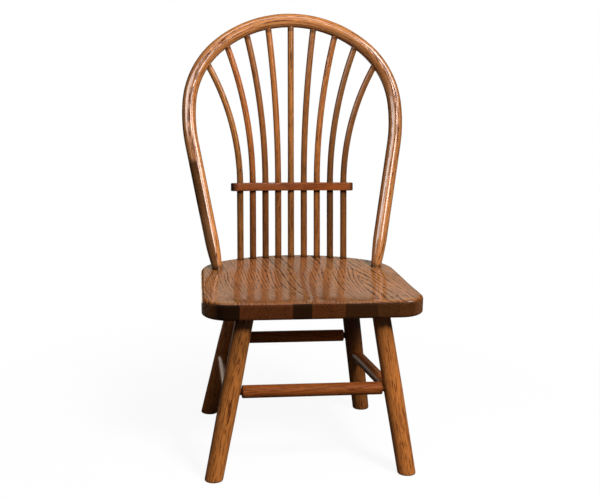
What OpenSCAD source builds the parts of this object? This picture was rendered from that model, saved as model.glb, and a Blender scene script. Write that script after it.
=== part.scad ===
// Child's sheaf back chair: glued-up seat, four splayed legs, box stretchers, bent bow and nine spindles.
// Millimetres. +Z is up, -Y is the front, and the chair stands on z = 0 with its origin under its middle.
// Depths are measured back from the seat's front edge and widths from the chair's middle line.

/* [Seat] */
// Height of the seat's flat rim above the floor
seat_h = 300; // [270:1:340]
// Thickness of the seat boards
seat_t = 27.5; // [24:0.5:34]
// Widest part of the seat, at the front corners
seat_w = 356; // [330:1:380]
// Depth of the seat from front edge to rear edge
seat_d = 325; // [300:1:350]
// Width across the rear corners
seat_back_w = 335; // [315:1:345]
// Radius of the front corners in plan
seat_corner_r = 42; // [30:1:55]
// Radius of the rear corners in plan
seat_back_corner_r = 85; // [70:1:95]
// Radius of the rear edge in plan
seat_rear_r = 223; // [205:1:245]
// Round on the seat's top edge
seat_edge_r = 6; // [3:0.5:8]
// Bevel on the seat's bottom edge
seat_bevel = 2; // [1:0.5:4]
// Depth of each of the two hollows in the seat
saddle_depth = 6; // [3:0.5:8]
// Radius of the hollows' dished surface
saddle_r = 1000; // [900:10:1200]
// Middle of each hollow, out from the middle line
saddle_x = 70; // [60:1:80]
// Middle of each hollow, back from the front edge
saddle_y = 105; // [90:1:120]

/* [Seat boards] */
// First glue joint, out from the middle of the left front leg's top
joint_1_out = 13; // [9:0.5:13]
// Second glue joint, in from the middle of the third spindle from the left
joint_2_in = 7.5; // [7:0.5:9.5]
// Third glue joint, out from the middle spindle
joint_3_out = 8; // [7:0.5:15]
// Fourth glue joint, in from the middle of the third spindle from the right
joint_4_in = 1; // [0:0.5:4]
// Fifth glue joint, in from the middle of the right front leg's top
joint_5_in = 12; // [9:0.5:13]
// Sixth glue joint, in from the middle of the bow's right foot
joint_6_in = 6; // [3:0.5:8]

/* [Legs] */
// Leg diameter at the foot
leg_foot_d = 29.8; // [27:0.1:32]
// Leg diameter at the swell in the middle
leg_mid_d = 31; // [29:0.1:33]
// Leg diameter just under the seat
leg_top_d = 29; // [26:0.1:31]
// Height of the swell above the floor
leg_swell_h = 150; // [130:1:190]
// Bevel round the foot
foot_bevel = 1.6; // [0.8:0.1:2.5]
// Diameter at the end of the leg's tapered tenon
leg_tenon_d = 24; // [20:0.5:25.5]
// Length of the leg's tenon in the seat
leg_tenon_l = 17; // [12:0.5:18]
// Front leg, in from the seat's side at the seat
front_leg_side = 69; // [62:1:78]
// Front leg, back from the seat's front edge at the seat
front_leg_back = 38; // [32:1:48]
// How far the front foot stands out to the side of its top
front_splay = 50; // [35:1:60]
// How far the front foot stands in front of its top
front_rake = 16; // [5:1:22]
// Rear leg, in from the rear corner's side at the seat
rear_leg_side = 74.5; // [66:0.5:80]
// Rear leg, in from the seat's rear edge at the seat
rear_leg_in = 72; // [62:1:80]
// How far the rear foot stands out to the side of its top
rear_splay = 49; // [35:1:60]
// How far the rear foot stands behind its top
rear_rake = 85; // [60:1:90]

/* [Stretchers] */
// Stretcher diameter
stretcher_d = 21; // [18:0.5:23]
// Diameter of the turned-down ends
stretcher_tenon_d = 11; // [9:0.5:12]
// How far the ends go into the legs
stretcher_tenon_l = 11; // [8:0.5:11]
// Length of neck that shows beside the leg
stretcher_neck = 2.5; // [1:0.5:5]
// Bevel at the shoulders
stretcher_bevel = 2; // [1:0.5:3.5]
// Height of the front stretcher
front_stretcher_h = 146; // [145:1:175]
// Height of the rear stretcher
rear_stretcher_h = 157; // [146:1:185]
// Height of the side stretchers at the front legs
side_front_h = 137; // [120:1:137]
// Height of the side stretchers at the rear legs
side_rear_h = 118; // [105:1:128]

/* [Bow] */
// Diameter of the bent rod
bow_d = 24; // [22:0.5:26]
// Diameter at the whittled foot
bow_foot_d = 17; // [15:0.5:19]
// Length of the whittled foot
bow_taper_l = 48; // [35:1:60]
// How far the foot goes into the seat
bow_tenon_l = 17; // [12:0.5:19]
// How far the bow leans back, in degrees
bow_lean = 19.3; // [17:0.1:21]
// Foot, in from the rear corner's side
bow_foot_side = 29.5; // [26:0.5:34]
// Foot, in from the seat's rear edge
bow_foot_in = 100; // [94:1:110]
// How far the limbs flare outwards, in degrees
bow_flare = 10.3; // [8:0.1:12]
// Straight length of each limb
limb_l = 220; // [200:1:240]
// Radius of the bend at each side
side_r = 275; // [250:1:300]
// Turn of the side bend, in degrees
side_turn = 15.3; // [13:0.1:18]
// Radius of the bend at each shoulder
shoulder_r = 148; // [140:1:158]
// Turn of the shoulder bend, in degrees
shoulder_turn = 45; // [40:1:50]

/* [Spindles] */
// Spindle diameter below the rail
spindle_d = 11.6; // [11:0.1:12.5]
// Spindle diameter above the rail
spindle_top_d = 11; // [9.5:0.1:11]
// How far the spindles go into the seat
spindle_tenon_l = 15; // [12:0.5:18]
// Spacing of the spindles along the seat
spindle_pitch = 23; // [20:0.5:24]
// Middle spindle, in from the seat's rear edge
spindle_in = 18; // [16:0.5:24]
// Radius in plan of the curve that the spindles stand on
spindle_row_r = 272; // [230:1:330]
// Spacing along the bow of the inner spindles
fan_pitch = 41.5; // [38:0.5:44]
// Spacing along the bow of the outermost spindles
outer_fan_pitch = 49.5; // [44:0.5:54]
// How far below the rail's top face the spindles step in and start to bend
bend_in_rail = 2; // [1:0.5:4]

/* [Sheaf rail] */
// Height of the rail above the seat
rail_h = 124; // [105:1:140]
// Thickness of the rail, up the spindles
rail_t = 14; // [10:0.5:17]
// Depth of the rail from front to back
rail_d = 22; // [19:0.5:28]
// How far the rail runs past the outermost spindles' middles
rail_overhang = 16.5; // [13:0.5:22]

/* [Fits] */
// Glue clearance in every socket and joint
glue = 0.1; // [0.05:0.01:0.15]

/* [Hidden] */
$fn = 48;
arc_fn = 360;
dish_fn = 220;
// Neighbouring bends of one rod run into each other by a lap, with a hair of a step between their faces
lap = 1;
lap_step = 0.05;
degree = 180 / PI;
left = -1;
right = 1;
oak = [0.60, 0.34, 0.17];
dark_oak = [0.44, 0.22, 0.10];
pale_oak = [0.70, 0.44, 0.24];

// Seat: heights of its faces and the middles of the circles that shape its outline
seat_under = seat_h - seat_t;
corner_x = seat_w / 2 - seat_corner_r;
rear_centre_y = seat_d - seat_rear_r;
back_corner_x = seat_back_w / 2 - seat_back_corner_r;
back_corner_y = rear_centre_y
    + sqrt((seat_rear_r - seat_back_corner_r) ^ 2 - back_corner_x ^ 2);
side_dx = back_corner_x - corner_x;
side_dy = back_corner_y - seat_corner_r;
side_angle = atan2(side_dy, side_dx)
    - acos((seat_corner_r - seat_back_corner_r) / norm([side_dx, side_dy]));
rear_angle = atan2(back_corner_y - rear_centre_y, back_corner_x);

// Legs: where each axis meets the floor and the seat's underside
function front_top(side) = [side * (seat_w / 2 - front_leg_side), front_leg_back, seat_under];
function front_foot(side) = [side * (seat_w / 2 - front_leg_side + front_splay), front_leg_back - front_rake, 0];
function rear_top(side) = [side * (seat_back_w / 2 - rear_leg_side), seat_d - rear_leg_in, seat_under];
function rear_foot(side) =
    [side * (seat_back_w / 2 - rear_leg_side + rear_splay), seat_d - rear_leg_in + rear_rake, 0];
function at_height(foot, top, h) = foot + (top - foot) * h / (top[2] - foot[2]);
function front_at(side, h) = at_height(front_foot(side), front_top(side), h);
function rear_at(side, h) = at_height(rear_foot(side), rear_top(side), h);

// Bow: drawn in its own leaning plane, out from the middle line and up from the seat
bow_foot_x = seat_back_w / 2 - bow_foot_side;
bow_foot_y = seat_d - bow_foot_in;

// Glue joints between the seat boards, from the middle line
joint_1 = -(seat_w / 2 - front_leg_side + joint_1_out);
joint_2 = -(2 * spindle_pitch - joint_2_in);
joint_3 = -joint_3_out;
joint_4 = 2 * spindle_pitch - joint_4_in;
joint_5 = seat_w / 2 - front_leg_side - joint_5_in;
joint_6 = bow_foot_x - joint_6_in;

// Bow: the bends follow each other up its plane
limb_end = [bow_foot_x + limb_l * sin(bow_flare), limb_l * cos(bow_flare)];
side_centre = limb_end + side_r * [-cos(bow_flare), sin(bow_flare)];
side_end_angle = side_turn - bow_flare;
side_end = side_centre + side_r * [cos(side_end_angle), sin(side_end_angle)];
shoulder_centre = side_end - shoulder_r * [cos(side_end_angle), sin(side_end_angle)];
shoulder_end_angle = side_end_angle + shoulder_turn;
shoulder_end = shoulder_centre + shoulder_r * [cos(shoulder_end_angle), sin(shoulder_end_angle)];
top_r = shoulder_end[0] / cos(shoulder_end_angle);
top_centre = [0, shoulder_end[1] - top_r * sin(shoulder_end_angle)];
top_turn = 90 - shoulder_end_angle;
top_length = top_r * top_turn / degree;

// Point of the bow's centre line at a distance s along it from the top
function on_top_arc(s) = top_centre + top_r * [sin(s / top_r * degree), cos(s / top_r * degree)];
function shoulder_at(s) = shoulder_end_angle - (s - top_length) / shoulder_r * degree;
function on_shoulder(s) = shoulder_centre + shoulder_r * [cos(shoulder_at(s)), sin(shoulder_at(s))];
function on_bow(s) = s <= top_length ? on_top_arc(s) : on_shoulder(s);

// Spindles: number 0 is the middle one, and the outermost pair is numbered last
outermost = 4;
function base_x(i) = i * spindle_pitch;
function base_y(i) = seat_d - spindle_in - spindle_row_r + sqrt(spindle_row_r ^ 2 - base_x(i) ^ 2);
function fan(i) = i < outermost ? i * fan_pitch : (i - 1) * fan_pitch + outer_fan_pitch;
function tip(i) = on_bow(fan(i));
function tip_y(i) = bow_foot_y + tip(i)[1] * sin(bow_lean);
function tip_h(i) = tip(i)[1] * cos(bow_lean);
function lean(i) = atan2(tip_y(i) - base_y(i), tip_h(i));
function tip_v(i) = norm([tip_y(i) - base_y(i), tip_h(i)]);
function bend_v(i) = rail_h / cos(lean(i)) + rail_t / 2 - bend_in_rail;
function bend_dx(i) = tip(i)[0] - base_x(i);
function bend_dv(i) = tip_v(i) - bend_v(i);
function bend_r(i) = (bend_dx(i) ^ 2 + bend_dv(i) ^ 2) / (2 * bend_dx(i));

// Rail: an arc through the middle spindle and the outermost pair, square to the middle spindle
rail_lean = lean(0);
rail_y = base_y(0) + rail_h * tan(rail_lean);
rail_front = rail_y - base_y(outermost);
outer_h = (rail_h * cos(rail_lean) + rail_front * sin(rail_lean))
    / (tan(lean(outermost)) * sin(rail_lean) + cos(rail_lean));
rail_sag = (rail_front - outer_h * tan(lean(outermost))) * cos(rail_lean)
    + (outer_h - rail_h) * sin(rail_lean);
rail_r = (base_x(outermost) ^ 2 + rail_sag ^ 2) / (2 * rail_sag);
rail_end_angle = asin((base_x(outermost) + rail_overhang - rail_d / 2) / rail_r);

// The origin lies under the middle of the whole chair, from the seat's front to the bow's back
bow_back_y = bow_foot_y + (top_centre[1] + top_r) * sin(bow_lean) + bow_d / 2 + lap_step;
rear_foot_back_y = rear_foot(right)[1] + leg_mid_d / 2;
middle_y = max(bow_back_y, rear_foot_back_y) / 2;

// Places its children with their z axis running from point a towards point b
module along(a, b) {
    d = b - a;
    translate(a) rotate([0, acos(d[2] / norm(d)), atan2(d[1], d[0])]) children();
}

// Points of an arc
function arc(cx, cy, r, from, to, steps) =
    [for (k = [0 : steps]) let (t = from + (to - from) * k / steps) [cx + r * cos(t), cy + r * sin(t)]];

// Right half of the seat's outline, drawn in by a distance, from front to rear
function half_outline(inset) = concat(
    arc(corner_x, seat_corner_r, seat_corner_r - inset, -90, side_angle, 12),
    arc(back_corner_x, back_corner_y, seat_back_corner_r - inset, side_angle, rear_angle, 8),
    [for (p = arc(0, rear_centre_y, seat_rear_r - inset, rear_angle, 90, 8)) if (p[0] > 1) p]);
function mirrored(points) = [for (k = [len(points) - 1 : -1 : 0]) [-points[k][0], points[k][1]]];
function outline(inset) =
    let (half = half_outline(inset)) concat(half, [[0, seat_d - inset]], mirrored(half));

// Seat blank with a bevelled bottom edge and a rounded top edge
module seat_blank() {
    edge_steps = 4;
    rings = concat([[seat_under, seat_bevel], [seat_under + seat_bevel, 0]],
        [for (k = [0 : edge_steps]) let (t = 90 * k / edge_steps)
            [seat_h - seat_edge_r + seat_edge_r * sin(t), seat_edge_r * (1 - cos(t))]]);
    n = len(outline(0));
    points = [for (ring = rings) for (p = outline(ring[1])) [p[0], p[1], ring[0]]];
    bottom = [[for (k = [0 : n - 1]) k]];
    top = [[for (k = [n - 1 : -1 : 0]) (len(rings) - 1) * n + k]];
    walls = [for (j = [0 : len(rings) - 2]) for (k = [0 : n - 1])
        [j * n + k, (j + 1) * n + k, (j + 1) * n + (k + 1) % n, j * n + (k + 1) % n]];
    polyhedron(points, concat(bottom, top, walls), convexity = 4);
}

// Two shallow round hollows that leave a low ridge between them
module saddle() {
    for (side = [left, right])
        translate([side * saddle_x, saddle_y, seat_h - saddle_depth + saddle_r])
            sphere(saddle_r, $fn = dish_fn);
}

// Whole seat with a blind socket for everything that stands in it
module seat() {
    difference() {
        seat_blank();
        saddle();
        for (side = [left, right]) {
            leg_rod(front_foot(side), front_top(side), glue);
            leg_rod(rear_foot(side), rear_top(side), glue);
            bow_limb(side, glue);
        }
        for (i = [-outermost : outermost]) spindle(i, glue);
    }
}

// One board of the seat, between two glue joints
module board(from, to) {
    intersection() {
        seat();
        translate([from + glue / 2, -seat_t, seat_under - seat_t])
            cube([to - from - glue, seat_d + 2 * seat_t, 3 * seat_t]);
    }
}

// Turned rod of a leg, from below the floor to the end of its tapered tenon
module leg_rod(foot, top, grow) {
    length = norm(top - foot);
    swell = length * leg_swell_h / seat_under;
    spare = leg_mid_d;
    along(foot, top) rotate_extrude() polygon([
        [0, -spare], [leg_foot_d / 2 + grow, -spare], [leg_foot_d / 2 + grow, 0],
        [leg_mid_d / 2 + grow, swell], [leg_top_d / 2 + grow, length],
        [leg_tenon_d / 2 + grow, length + leg_tenon_l + grow], [0, length + leg_tenon_l + grow]]);
}

// Round leg with a slight swell, cut level at the floor
module leg(foot, top) {
    difference() {
        leg_rod(foot, top, 0);
        translate([foot[0], foot[1], -3 * leg_mid_d]) cylinder(h = 3 * leg_mid_d, r = 3 * leg_mid_d);
        translate([foot[0], foot[1], 0]) foot_trim();
    }
}

// Ring that bevels the edge of a foot
module foot_trim() {
    rotate_extrude() polygon([
        [leg_foot_d / 2 - foot_bevel, -1], [leg_foot_d / 2 - foot_bevel, 0],
        [leg_foot_d / 2 + 3 * foot_bevel, 4 * foot_bevel], [leg_foot_d, 4 * foot_bevel], [leg_foot_d, -1]]);
}

// Dowel with turned-down ends, between the axes of two legs
module stretcher(a, b) {
    length = norm(b - a);
    peg = leg_mid_d / 2 - stretcher_tenon_l;
    shoulder = leg_mid_d / 2 + stretcher_neck;
    neck_r = stretcher_tenon_d / 2;
    r = stretcher_d / 2;
    along(a, b) rotate_extrude() polygon([
        [0, peg], [neck_r, peg], [neck_r, shoulder], [r - stretcher_bevel, shoulder],
        [r, shoulder + stretcher_bevel], [r, length - shoulder - stretcher_bevel],
        [r - stretcher_bevel, length - shoulder], [neck_r, length - shoulder], [neck_r, length - peg],
        [0, length - peg]]);
}

// Blind hole in the leg at a for the dowel that runs to b
module stretcher_socket(a, b) {
    along(a, b) translate([0, 0, leg_mid_d / 2 - stretcher_tenon_l - glue])
        cylinder(h = stretcher_tenon_l + stretcher_d, d = stretcher_tenon_d + 2 * glue);
}

module cross_front() {
    stretcher(front_at(left, front_stretcher_h), front_at(right, front_stretcher_h));
}

module cross_rear() {
    stretcher(rear_at(left, rear_stretcher_h), rear_at(right, rear_stretcher_h));
}

module cross_side(side) {
    stretcher(front_at(side, side_front_h), rear_at(side, side_rear_h));
}

module front_leg(side) {
    difference() {
        leg(front_foot(side), front_top(side));
        stretcher_socket(front_at(side, front_stretcher_h), front_at(-side, front_stretcher_h));
        stretcher_socket(front_at(side, side_front_h), rear_at(side, side_rear_h));
    }
}

module rear_leg(side) {
    difference() {
        leg(rear_foot(side), rear_top(side));
        stretcher_socket(rear_at(side, rear_stretcher_h), rear_at(-side, rear_stretcher_h));
        stretcher_socket(rear_at(side, side_rear_h), front_at(side, side_front_h));
    }
}

// Stands a flat drawing up on the seat, leaning back
module lean_back(y, angle) {
    translate([0, y, seat_h]) rotate([90 - angle, 0, 0]) children();
}

// Round rod bent along an arc in the drawing's plane
module bent_rod(centre, r, from, to, d) {
    translate([centre[0], centre[1], 0]) rotate([0, 0, from])
        rotate_extrude(angle = to - from, $fn = arc_fn) translate([r, 0]) circle(d = d, $fn = 48);
}

// Straight limb of the bow with its whittled foot and its peg in the seat
module bow_limb(side, grow = 0) {
    lean_back(bow_foot_y, bow_lean)
        translate([side * bow_foot_x, 0, 0]) rotate([-90, 0, -side * bow_flare])
            rotate_extrude() polygon([
                [0, -bow_tenon_l - grow], [bow_foot_d / 2 + grow, -bow_tenon_l - grow],
                [bow_foot_d / 2 + grow, 0], [bow_d / 2 + grow, bow_taper_l],
                [bow_d / 2 + grow, limb_l + lap], [0, limb_l + lap]]);
}

// Bow: two limbs, a side and a shoulder bend on each side, and the top bend
module bent_bow() {
    thick = bow_d + 2 * lap_step;
    lap_angle = lap / shoulder_r * degree;
    for (side = [left, right]) bow_limb(side);
    lean_back(bow_foot_y, bow_lean) {
        for (side = [left, right]) mirror([side == left ? 1 : 0, 0, 0]) {
            bent_rod(side_centre, side_r, -bow_flare, side_end_angle, thick);
            bent_rod(shoulder_centre, shoulder_r, side_end_angle - lap_angle, shoulder_end_angle + lap_angle,
                bow_d);
        }
        bent_rod(top_centre, top_r, shoulder_end_angle, 180 - shoulder_end_angle, thick);
    }
}

// Spindle: thicker and straight up into the rail, then slimmer and bent outwards to the bow
module spindle(i, grow = 0) {
    k = abs(i);
    lean_back(base_y(k), lean(k)) mirror([i > 0 ? 1 : 0, 0, 0]) {
        translate([-base_x(k), -spindle_tenon_l - grow, 0]) rotate([-90, 0, 0])
            cylinder(h = spindle_tenon_l + grow + bend_v(k), d = spindle_d + 2 * grow);
        if (k == 0)
            translate([0, bend_v(0) - lap, 0]) rotate([-90, 0, 0])
                cylinder(h = tip_v(0) - bend_v(0) + lap, d = spindle_top_d + 2 * grow);
        else
            bent_rod([-base_x(k) - bend_r(k), bend_v(k)], bend_r(k), -lap / bend_r(k) * degree,
                asin(bend_dv(k) / bend_r(k)), spindle_top_d + 2 * grow);
    }
}

// Flat curved bar with round ends, threaded on the spindles
module rail_bar() {
    end = rail_r * [sin(rail_end_angle), cos(rail_end_angle)];
    translate([0, rail_y, seat_h + rail_h]) rotate([-rail_lean, 0, 0]) translate([0, -rail_r, 0]) {
        rotate([0, 0, 90 - rail_end_angle]) rotate_extrude(angle = 2 * rail_end_angle, $fn = arc_fn)
            translate([rail_r - rail_d / 2, -rail_t / 2]) square([rail_d, rail_t]);
        for (side = [left, right])
            translate([side * end[0], end[1], -rail_t / 2 + lap_step])
                cylinder(h = rail_t - 2 * lap_step, d = rail_d - 2 * lap_step);
    }
}

// Straight bore through the rail for a spindle
module rail_bore(i) {
    k = abs(i);
    lean_back(base_y(k), lean(k)) translate([sign(i) * base_x(k), rail_h / cos(lean(k)) - rail_t, 0])
        rotate([-90, 0, 0]) cylinder(h = 2 * rail_t, d = spindle_d + 2 * glue);
}

module to_origin() {
    translate([0, -middle_y, 0]) children();
}

module seat_board_1() { color(dark_oak) to_origin() board(-seat_w, joint_1); }
module seat_board_2() { color(oak) to_origin() board(joint_1, joint_2); }
module seat_board_3() { color(dark_oak) to_origin() board(joint_2, joint_3); }
module seat_board_4() { color(oak) to_origin() board(joint_3, joint_4); }
module seat_board_5() { color(dark_oak) to_origin() board(joint_4, joint_5); }
module seat_board_6() { color(oak) to_origin() board(joint_5, joint_6); }
module seat_board_7() { color(pale_oak) to_origin() board(joint_6, seat_w); }
module front_left_leg() { color(oak) to_origin() front_leg(left); }
module front_right_leg() { color(oak) to_origin() front_leg(right); }
module rear_left_leg() { color(dark_oak) to_origin() rear_leg(left); }
module rear_right_leg() { color(dark_oak) to_origin() rear_leg(right); }
module front_stretcher() { color(dark_oak) to_origin() cross_front(); }
module rear_stretcher() { color(oak) to_origin() cross_rear(); }
module left_side_stretcher() { color(pale_oak) to_origin() cross_side(left); }
module right_side_stretcher() { color(oak) to_origin() cross_side(right); }
module bow() {
    color(pale_oak) to_origin() difference() {
        bent_bow();
        for (i = [-outermost : outermost]) spindle(i, glue);
    }
}
module spindle_1() { color(oak) to_origin() spindle(-4); }
module spindle_2() { color(oak) to_origin() spindle(-3); }
module spindle_3() { color(oak) to_origin() spindle(-2); }
module spindle_4() { color(oak) to_origin() spindle(-1); }
module spindle_5() { color(oak) to_origin() spindle(0); }
module spindle_6() { color(oak) to_origin() spindle(1); }
module spindle_7() { color(oak) to_origin() spindle(2); }
module spindle_8() { color(oak) to_origin() spindle(3); }
module spindle_9() { color(oak) to_origin() spindle(4); }
module sheaf_rail() {
    color(dark_oak) to_origin() difference() {
        rail_bar();
        for (i = [-outermost : outermost]) rail_bore(i);
    }
}

seat_board_1();
seat_board_2();
seat_board_3();
seat_board_4();
seat_board_5();
seat_board_6();
seat_board_7();
front_left_leg();
front_right_leg();
rear_left_leg();
rear_right_leg();
front_stretcher();
rear_stretcher();
left_side_stretcher();
right_side_stretcher();
bow();
spindle_1();
spindle_2();
spindle_3();
spindle_4();
spindle_5();
spindle_6();
spindle_7();
spindle_8();
spindle_9();
sheaf_rail();
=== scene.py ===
# Child's sheaf back chair in stained and lacquered oak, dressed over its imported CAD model.
# Metres, +Z up, -Y the front. Lengths in the dictionaries of the chair's pieces are millimetres.
import math

import bmesh
import bpy
import numpy as np
from mathutils import Matrix, Vector


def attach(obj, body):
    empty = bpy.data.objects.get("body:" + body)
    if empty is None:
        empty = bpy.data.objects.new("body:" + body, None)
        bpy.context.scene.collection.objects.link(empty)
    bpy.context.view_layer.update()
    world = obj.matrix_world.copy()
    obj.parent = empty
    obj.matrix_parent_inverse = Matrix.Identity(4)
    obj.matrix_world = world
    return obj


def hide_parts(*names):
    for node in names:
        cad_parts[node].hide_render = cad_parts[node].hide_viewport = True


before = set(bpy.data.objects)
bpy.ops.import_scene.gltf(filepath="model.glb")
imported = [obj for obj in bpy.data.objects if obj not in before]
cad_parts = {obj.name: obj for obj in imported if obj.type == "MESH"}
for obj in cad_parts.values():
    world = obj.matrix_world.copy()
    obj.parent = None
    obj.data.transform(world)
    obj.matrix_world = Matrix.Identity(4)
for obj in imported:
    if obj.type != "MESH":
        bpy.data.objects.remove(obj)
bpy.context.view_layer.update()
mm = 0.001
sides = (-1, 1)

# The chair's own places, counted back from the seat's front edge and up from the floor
chair = {
    "middleY": 190.711,      # from the seat's front edge back to the origin
    "seatTop": 300.0, "seatUnder": 272.5,
    "railHeight": 124.0, "railThick": 14.0,
    "crisp": 38,             # edges that turn by more degrees than this stay crisp
    "wander": 0.06, "wanderLength": 60.0,    # how much the stain of a rod wanders, and over what length
}


# Turns design points in millimetres, depth counted from the seat's front edge, into scene metres
def toScene(points):
    return (points - np.array([0.0, chair["middleY"], 0.0])) * mm


def unit(v):
    v = np.asarray(v, dtype=float)
    return v / np.linalg.norm(v)


# Share of the way from start to stop, held between 0 and 1
def ramp(value, start, stop):
    return np.clip((value - start) / (stop - start), 0, 1)


# Bell-shaped fall from 1, at no distance, to next to nothing at twice the reach
def fade(distance, reach):
    return np.exp(-(np.maximum(distance, 0) / reach) ** 2)


# Smooth random numbers along a line, about -1 to 1: five sines of seeded pace and phase, each one
# faster and lower than the one before, added up
def softWave(t, seed):
    rng = np.random.default_rng(seed)
    total = np.zeros_like(t)
    for wave in range(1, 6):
        total += np.sin(t * wave * rng.uniform(0.7, 1.3) + rng.uniform(0, 6.28)) / wave
    return total / 1.6


# Distance of each point of a path from its start, measured along the path
def runLength(path):
    return np.concatenate([[0], np.cumsum(np.linalg.norm(np.diff(path, axis=0), axis=1))])


# Quads of a grid of rows and columns, where the last column meets the first when closed
def gridFaces(rows, columns, closed=True):
    first = np.arange(columns if closed else columns - 1)
    row, column = np.meshgrid(np.arange(rows - 1), first, indexing="ij")
    beside = (column + 1) % columns
    here, above = row * columns, (row + 1) * columns
    corners = np.stack([here + column, here + beside, above + beside, above + column], -1)
    return corners.reshape(-1, 4).tolist()


# Faces of a tube of rings with a fan over each end, round two centre points that follow the rings
def tubeFaces(rings, around):
    point = np.arange(around)
    beside = (point + 1) % around
    centre = np.full(around, rings * around)
    last = (rings - 1) * around
    faces = gridFaces(rings, around)
    faces += np.stack([centre, beside, point], -1).tolist()
    faces += np.stack([centre + 1, last + point, last + beside], -1).tolist()
    return faces


# Values of a tube's points in one row, with those of its two centre points last
def tubeValues(values, ends=(0, 0)):
    return np.concatenate([values.ravel(), ends])


# Volume of a closed mesh: the sum over its triangles of the triple product of their corners, over six
def signedVolume(verts, faces):
    total = 0.0
    for size in {len(face) for face in faces}:
        corners = np.array([face for face in faces if len(face) == size])
        for k in range(1, size - 1):
            a, b, c = verts[corners[:, 0]], verts[corners[:, k]], verts[corners[:, k + 1]]
            total += float(np.einsum("ij,ij->", a, np.cross(b, c))) / 6
    return total


# Joins points that share a place, so collapsed corners and centre lines close, and turns faces outwards
def weld(mesh):
    work = bmesh.new()
    work.from_mesh(mesh)
    bmesh.ops.remove_doubles(work, verts=work.verts, dist=1e-6)
    bmesh.ops.dissolve_degenerate(work, edges=work.edges, dist=1e-7)
    bmesh.ops.recalc_face_normals(work, faces=work.faces)
    work.to_mesh(mesh)
    work.free()


# Puts a closed surface into Blender with its wood coordinates and stain as attributes. grain is (across,
# across, along) in metres from the pith of its tree; stain is (dark, red, joint), where dark also holds
# the painted shade of some pieces.
def woodPiece(name, verts, faces, grain, stain, wood, node, welded=False):
    verts = toScene(verts)
    if signedVolume(verts, faces) < 0:
        faces = [face[::-1] for face in faces]
    mesh = bpy.data.meshes.new(name)
    mesh.from_pydata(verts.tolist(), [], faces)
    for label, values in (("grainPoint", grain), ("stain", stain)):
        layer = mesh.attributes.new(label, "FLOAT_VECTOR", "POINT")
        layer.data.foreach_set("vector", np.ascontiguousarray(values, dtype=np.float32).ravel())
    mesh.validate()
    if welded:
        weld(mesh)
    mesh.shade_smooth()
    mesh.set_sharp_from_angle(angle=math.radians(chair["crisp"]))
    mesh.materials.append(oak[wood])
    piece = bpy.data.objects.new(name, mesh)
    bpy.context.scene.collection.objects.link(piece)
    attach(piece, "root")
    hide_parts(node)


# Where a piece was cut in its tree: turns the section by spin, moves it off the pith and tilts it
# along the grain, so the rings run out on its faces. cut holds spin, pith, tilt and start.
def cutFrom(cut, a, b, t):
    cosine, sine = math.cos(cut["spin"]), math.sin(cut["spin"])
    a, b, t = a * mm, b * mm, t * mm
    across = cosine * a - sine * b + cut["pith"][0] * mm + cut["tilt"][0] * t
    depth = sine * a + cosine * b + cut["pith"][1] * mm + cut["tilt"][1] * t
    return np.stack([across, depth, t + cut["start"]], -1)


# A cut drawn from a seed of its own: any side of the tree, some way off the pith, a little tilted
def randomCut(seed, pithAcross, pithDeep, tilt, start):
    rng = np.random.default_rng(seed)
    return {"spin": rng.uniform(0, 6.28), "pith": (rng.uniform(*pithAcross), rng.uniform(*pithDeep)),
            "tilt": tuple(rng.uniform(-tilt, tilt, 2)), "start": start}


# Round rod: a circle carried along a path, with the circle's size read at each station. stain is
# (dark, red), joints lists the distances along the rod where the stain pools, over a reach, and shade
# adds to the dark stain from the distance along the rod, the angle round it and its length; on the bow,
# the spindles and the rear stretcher that is painted shade.
def rodPiece(name, path, normal, radii, cut, stain, joints, wood, node, around=40, reach=4.0, shade=None):
    tangent = np.gradient(path, axis=0)
    tangent /= np.linalg.norm(tangent, axis=1)[:, None]
    normal = np.broadcast_to(unit(normal), path.shape)
    normal = normal - tangent * np.sum(normal * tangent, 1)[:, None]
    normal /= np.linalg.norm(normal, axis=1)[:, None]
    second = np.cross(tangent, normal)
    theta = np.linspace(0, 2 * np.pi, around, endpoint=False)
    a = radii[:, None] * np.cos(theta)
    b = radii[:, None] * np.sin(theta)
    verts = path[:, None] + a[..., None] * normal[:, None] + b[..., None] * second[:, None]
    verts = np.concatenate([verts.reshape(-1, 3), path[:1], path[-1:]])
    along = runLength(path)
    t = tubeValues(np.repeat(along, around), along[[0, -1]])
    pool = np.max([fade(np.abs(t - joint), reach) for joint in joints], axis=0)
    dark = stain[0] + chair["wander"] * softWave(t / chair["wanderLength"], int(cut["start"] * 100) + 3)
    if shade is not None:
        dark += shade(t, tubeValues(np.tile(theta, len(path))), along[-1])
    woodPiece(name, verts, tubeFaces(len(path), around), cutFrom(cut, tubeValues(a), tubeValues(b), t),
              np.stack([dark, np.full(len(t), stain[1]), pool], -1), wood, node)


# Wood

# Noises in the oak: how many turns a metre across and along the grain, how fine, and a shift of their own
noises = {
    "slow": {"across": 14, "along": 3.2, "detail": 2.5},
    "quick": {"across": 120, "along": 14, "shift": 5},
    "jagged": {"across": 420, "along": 42, "detail": 1.5, "shift": 31},
    "year": {"across": 60, "along": 2.5, "detail": 1, "shift": 9},
    "dash": {"across": 430, "along": 70, "detail": 1, "shift": 37},
    "dots": {"across": 1250, "along": 85, "rough": 0.6, "shift": 2},
    "fibre": {"across": 900, "along": 18, "detail": 3, "rough": 0.6, "shift": 11},
    "drift": {"across": 22, "along": 2.0, "shift": 17},
    "mottle": {"across": 380, "along": 42, "detail": 3, "rough": 0.65, "shift": 23},
}
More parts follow.
